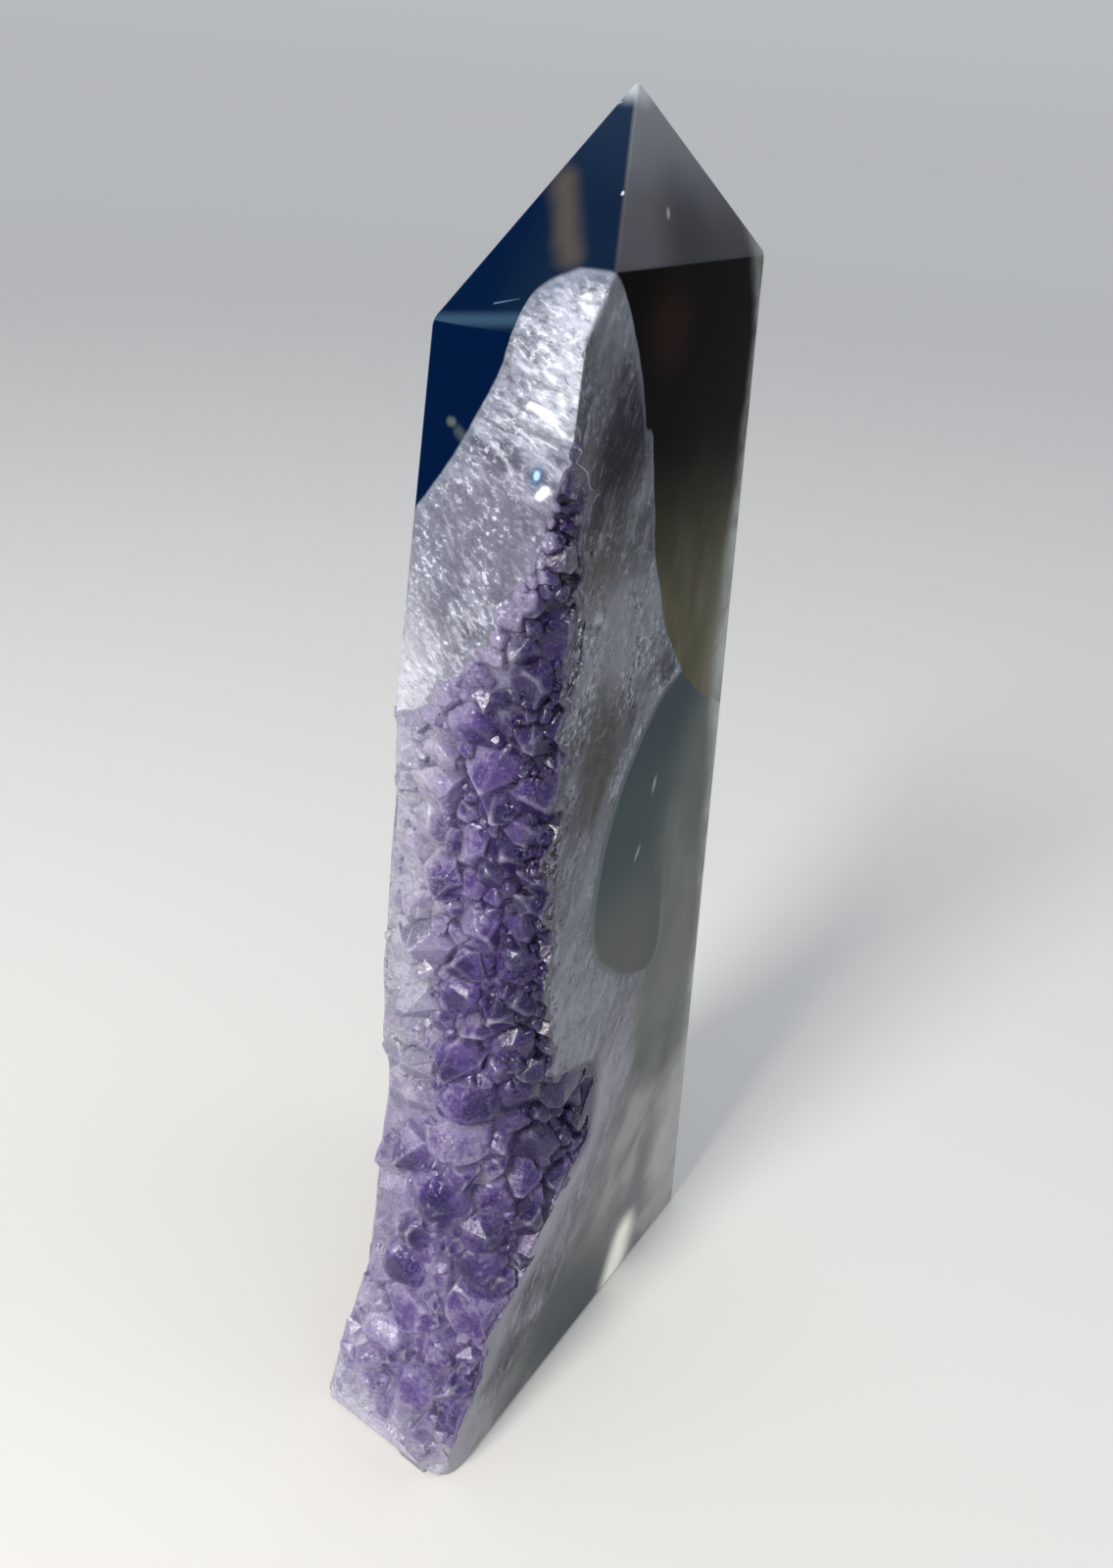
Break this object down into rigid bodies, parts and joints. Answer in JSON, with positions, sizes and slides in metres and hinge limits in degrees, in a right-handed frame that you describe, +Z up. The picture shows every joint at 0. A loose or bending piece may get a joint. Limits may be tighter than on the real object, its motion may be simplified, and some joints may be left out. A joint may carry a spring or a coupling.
{
  "type": "agate tower",
  "caption": "Tall tapering polished agate tower with a faceted point; one corner opens into a hollow lined with amethyst crystals.",
  "frame": {"origin": "middle of the foot's bounding box, on the surface that the tower stands on", "axes": "+Z up the tower to its point, -Y out of the wide front face, -X out of the narrow left face that the amethyst fills"},
  "size_m": [0.069, 0.03, 0.18],
  "materials": {
    "agate": "polished stone",
    "amethyst": "natural crystal faces"
  },
  "bodies": {
    "root": {"agate_body": "agate", "amethyst_crust": "amethyst"}
  },
  "joints": []
}
